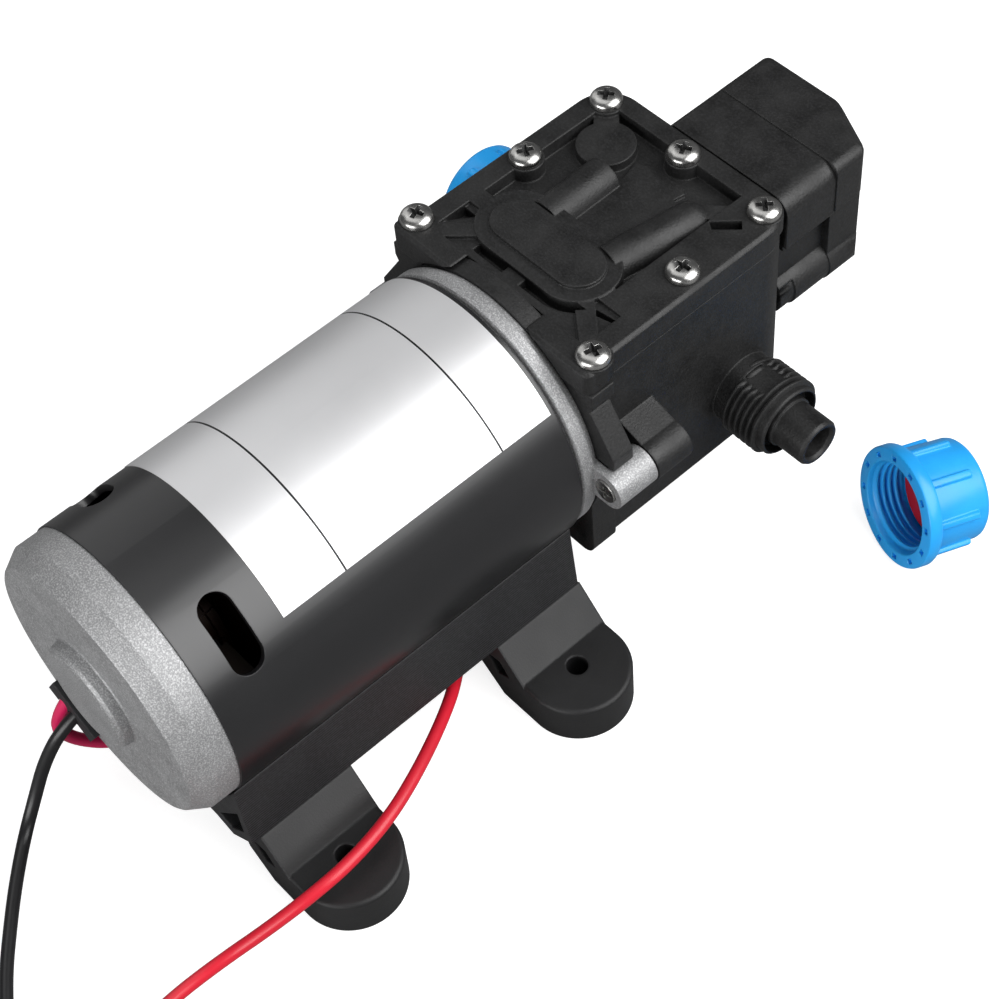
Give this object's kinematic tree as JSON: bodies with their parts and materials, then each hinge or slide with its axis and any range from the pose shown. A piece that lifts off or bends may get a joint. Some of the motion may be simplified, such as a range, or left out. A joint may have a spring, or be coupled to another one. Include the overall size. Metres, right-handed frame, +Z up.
{
  "type": "diaphragm water pump",
  "caption": "Self-priming diaphragm water pump with an electric motor, a rubber-footed base, a pressure switch and threaded side ports with screw caps.",
  "frame": {"origin": "middle of the four foot holes, on the floor that the feet stand on", "axes": "+Y along the motor axis towards the pump head and pressure switch, +X towards the open outlet port, +Z up"},
  "size_m": [0.1498, 0.2865, 0.0926],
  "materials": {
    "shell_steel": "gloss black paint",
    "foil": "smooth foil",
    "cast_alloy": "grainy casting",
    "black_rubber": "matte",
    "foot_rubber": "satin",
    "ferrite": "matte",
    "board": "matte",
    "carbon": "matte",
    "spring_steel": "bright",
    "bearing_steel": "ground",
    "screw_steel": "bright plated",
    "shaft_steel": "turned",
    "core_steel": "laminated",
    "copper": "bare copper",
    "white_plastic": "moulded",
    "black_plastic": "satin moulded",
    "grey_plastic": "moulded",
    "saddle_plastic": "fine texture",
    "blue_plastic": "moulded",
    "red_rubber": "matte",
    "red_sleeve": "satin",
    "black_sleeve": "satin"
  },
  "bodies": {
    "housing": {"motor_shell": "shell_steel", "foil_label": "foil", "rear_end_cap": "cast_alloy", "motor_grommet": "black_rubber", "front_flange": "cast_alloy", "field_magnets": "ferrite", "brush_holder": "board", "carbon_brushes": "carbon", "brush_springs": "spring_steel", "rear_bearing_outer": "bearing_steel", "front_bearing_outer": "bearing_steel", "head_screws": "screw_steel", "pump_body": "black_plastic", "diaphragm": "black_rubber", "valve_plate": "white_plastic", "cover_gasket": "black_rubber", "top_cover": "black_plastic", "cover_screws": "screw_steel", "switch_housing": "black_plastic", "switch_cap": "black_plastic", "switch_gland": "black_rubber", "switch_seal": "black_rubber", "switch_spring": "spring_steel", "micro_switch": "grey_plastic", "switch_screws": "screw_steel", "base_saddle": "saddle_plastic", "base_screws": "screw_steel", "outlet_cap": "blue_plastic", "outlet_cap_washer": "red_rubber", "red_lead": "red_sleeve", "black_lead": "black_sleeve", "jumper_lead": "red_sleeve", "stripped_ends": "copper", "foot_front_right": "foot_rubber", "foot_front_left": "foot_rubber", "foot_rear_right": "foot_rubber", "foot_rear_left": "foot_rubber"},
    "rotor": {"motor_shaft": "shaft_steel", "armature_core": "core_steel", "armature_windings": "copper", "commutator": "copper", "rear_bearing_inner": "bearing_steel", "front_bearing_inner": "bearing_steel", "eccentric": "shaft_steel", "eccentric_set_screw": "screw_steel", "crank_retainer": "spring_steel", "crank_bearing_inner": "bearing_steel"},
    "rod": {"connecting_rod": "white_plastic", "crank_bearing_outer": "bearing_steel", "diaphragm_clamp": "white_plastic", "diaphragm_screw": "screw_steel"},
    "inlet_flap": {"inlet_valve": "black_rubber"},
    "outlet_flap": {"outlet_valve": "black_rubber"},
    "switch_pin": {"switch_plunger": "white_plastic"},
    "cap_seal": {"inlet_cap_washer": "red_rubber"},
    "cap_on_inlet": {"inlet_cap": "blue_plastic"}
  },
  "joints": [
    {"name": "rotor_spin", "type": "hinge", "parent": "housing", "child": "rotor", "pos_m": [0, 0, 0.057], "axis": [0, 1, 0], "continuous": true},
    {"name": "rod_orbit", "type": "hinge", "parent": "rotor", "child": "rod", "pos_m": [0, 0.081, 0.0585], "axis": [0, 1, 0], "continuous": true, "deforming": ["diaphragm"]},
    {"name": "inlet_valve_lift", "type": "slide", "parent": "housing", "child": "inlet_flap", "axis": [0, 0, -1], "range_m": [0, 0.0008], "stiffness_N_per_m": 60},
    {"name": "outlet_valve_lift", "type": "slide", "parent": "housing", "child": "outlet_flap", "axis": [0, 0, 1], "range_m": [0, 0.0008], "stiffness_N_per_m": 60},
    {"name": "switch_push", "type": "slide", "parent": "housing", "child": "switch_pin", "axis": [0, 1, 0], "range_m": [0, 0.0012], "stiffness_N_per_m": 1500},
    {"name": "cap_travel", "type": "slide", "parent": "housing", "child": "cap_seal", "axis": [-1, 0, 0], "range_m": [0, 0.01452]},
    {"name": "cap_turn", "type": "hinge", "parent": "cap_seal", "child": "cap_on_inlet", "pos_m": [-0.05, 0.105, 0.0433], "axis": [-1, 0, 0], "range_deg": [0, 2880]}
  ],
  "couplings": [
    {"joint": "rod_orbit", "follows": "rotor_spin", "ratio": -1},
    {"joint": "cap_travel", "follows": "cap_turn", "m_per_rad": 0.00028871}
  ]
}
